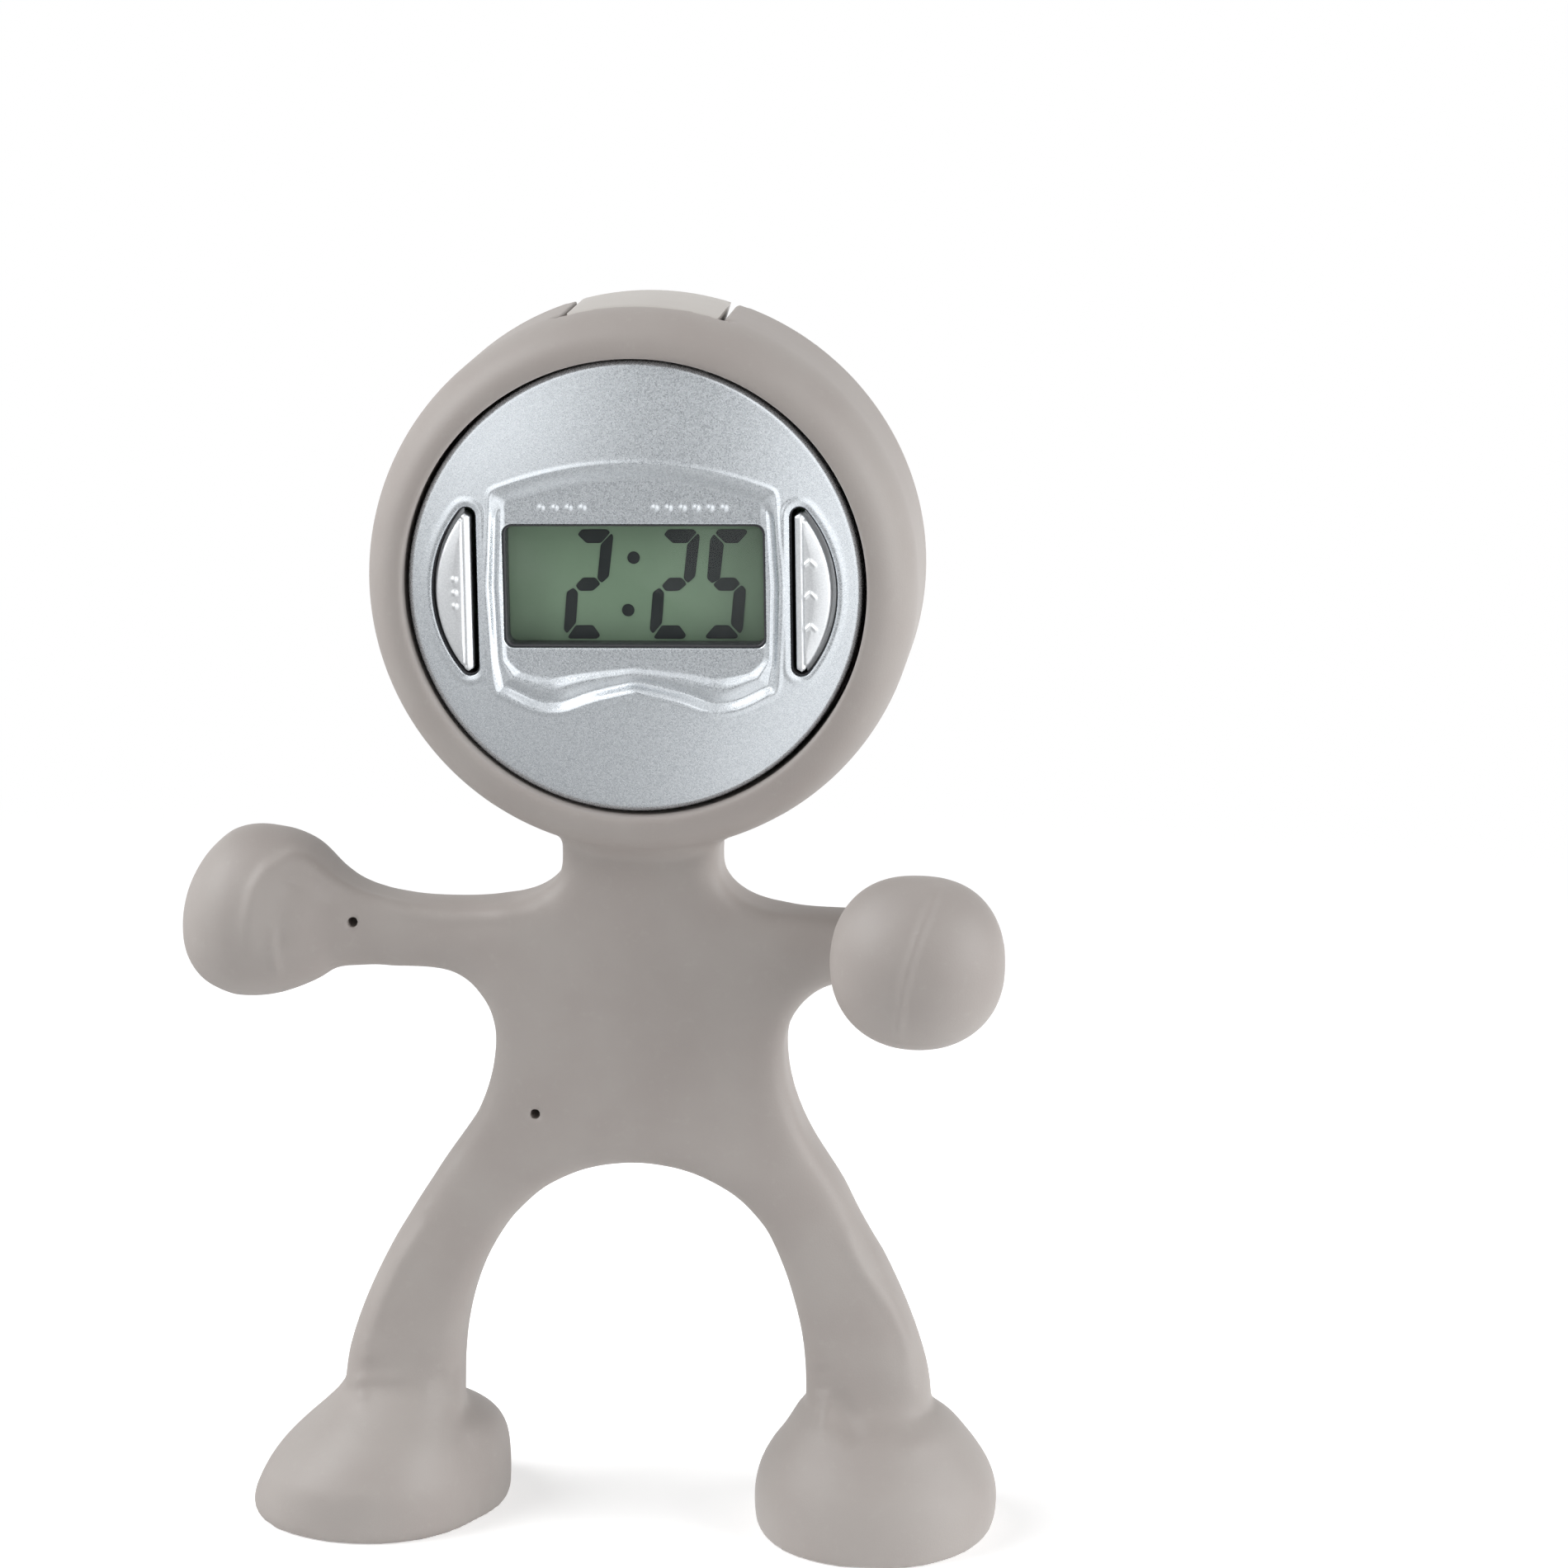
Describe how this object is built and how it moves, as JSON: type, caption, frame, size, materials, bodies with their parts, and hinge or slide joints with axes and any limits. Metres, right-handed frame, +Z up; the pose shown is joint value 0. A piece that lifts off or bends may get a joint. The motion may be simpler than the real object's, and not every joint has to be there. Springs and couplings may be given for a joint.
{
  "type": "bendable figure clock",
  "caption": "Small bendable rubber figure that stands on domed feet, with a round digital clock in its ring-shaped head and a hand that curls to hold a pen.",
  "frame": {"origin": "middle of the bounding box at the floor that the soles stand on", "axes": "+Z up, -Y the way the clock face looks, +X to the side of the curled arm"},
  "size_m": [0.0702, 0.0334, 0.1053],
  "materials": {
    "taupe_rubber": "soft matte",
    "silver_paint": "metallic paint on plastic",
    "button_silver": "satin metallic paint",
    "pale_case": "satin",
    "clear_lens": "clear polished",
    "display_glass": "grey-green display",
    "dark_plastic": "matte",
    "dark_rubber": "matte",
    "board_green": "solder mask",
    "black_resin": "glossy resin",
    "bright_steel": "bright",
    "contact_brass": "bright"
  },
  "bodies": {
    "torso": {"rubber_body": "taupe_rubber", "left_arm_wire": "bright_steel", "right_arm_wire": "bright_steel", "left_leg_wire": "bright_steel", "right_leg_wire": "bright_steel", "face_bezel": "silver_paint", "lcd_window": "clear_lens", "lcd_glass": "display_glass", "lcd_frame": "dark_plastic", "zebra_strip": "dark_rubber", "set_switch_pad": "dark_rubber", "advance_switch_pad": "dark_rubber", "circuit_board": "board_green", "chip_blob": "black_resin", "quartz_crystal": "bright_steel", "button_cell": "bright_steel", "cell_contact_negative": "contact_brass", "cell_contact_positive": "contact_brass", "rear_case": "pale_case", "case_screw_1": "bright_steel", "case_screw_2": "bright_steel", "case_screw_3": "bright_steel", "case_screw_4": "bright_steel"},
    "left_arm": {"left_arm": "taupe_rubber"},
    "right_arm": {"right_arm": "taupe_rubber"},
    "left_leg": {"left_leg": "taupe_rubber"},
    "right_leg": {"right_leg": "taupe_rubber"},
    "set_button": {"set_button": "button_silver"},
    "advance_button": {"advance_button": "button_silver"},
    "battery_door": {"battery_door": "pale_case"}
  },
  "joints": [
    {"name": "left_shoulder_bend", "type": "hinge", "parent": "torso", "child": "left_arm", "pos_m": [-0.01255, 0.0041, 0.0514], "axis": [0, 0, 1], "range_deg": [-40, 40], "deforming": ["left_arm_wire"]},
    {"name": "right_shoulder_bend", "type": "hinge", "parent": "torso", "child": "right_arm", "pos_m": [0.02045, 0.0041, 0.0514], "axis": [0, 0, 1], "range_deg": [-15, 40], "deforming": ["right_arm_wire"]},
    {"name": "left_hip_bend", "type": "hinge", "parent": "torso", "child": "left_leg", "pos_m": [-0.00965, 0.0041, 0.029], "axis": [1, 0, 0], "range_deg": [-40, 40], "deforming": ["left_leg_wire"]},
    {"name": "right_hip_bend", "type": "hinge", "parent": "torso", "child": "right_leg", "pos_m": [0.01755, 0.0041, 0.029], "axis": [1, 0, 0], "range_deg": [-40, 40], "deforming": ["right_leg_wire"]},
    {"name": "set_button_press", "type": "slide", "parent": "torso", "child": "set_button", "axis": [0, 1, 0], "range_m": [0, 0.0008], "stiffness_N_per_m": 400},
    {"name": "advance_button_press", "type": "slide", "parent": "torso", "child": "advance_button", "axis": [0, 1, 0], "range_m": [0, 0.0008], "stiffness_N_per_m": 400},
    {"name": "battery_door_turn", "type": "hinge", "parent": "torso", "child": "battery_door", "pos_m": [0.00393, 0.0041, 0.0781], "axis": [0, 1, 0], "range_deg": [0, 45]}
  ]
}
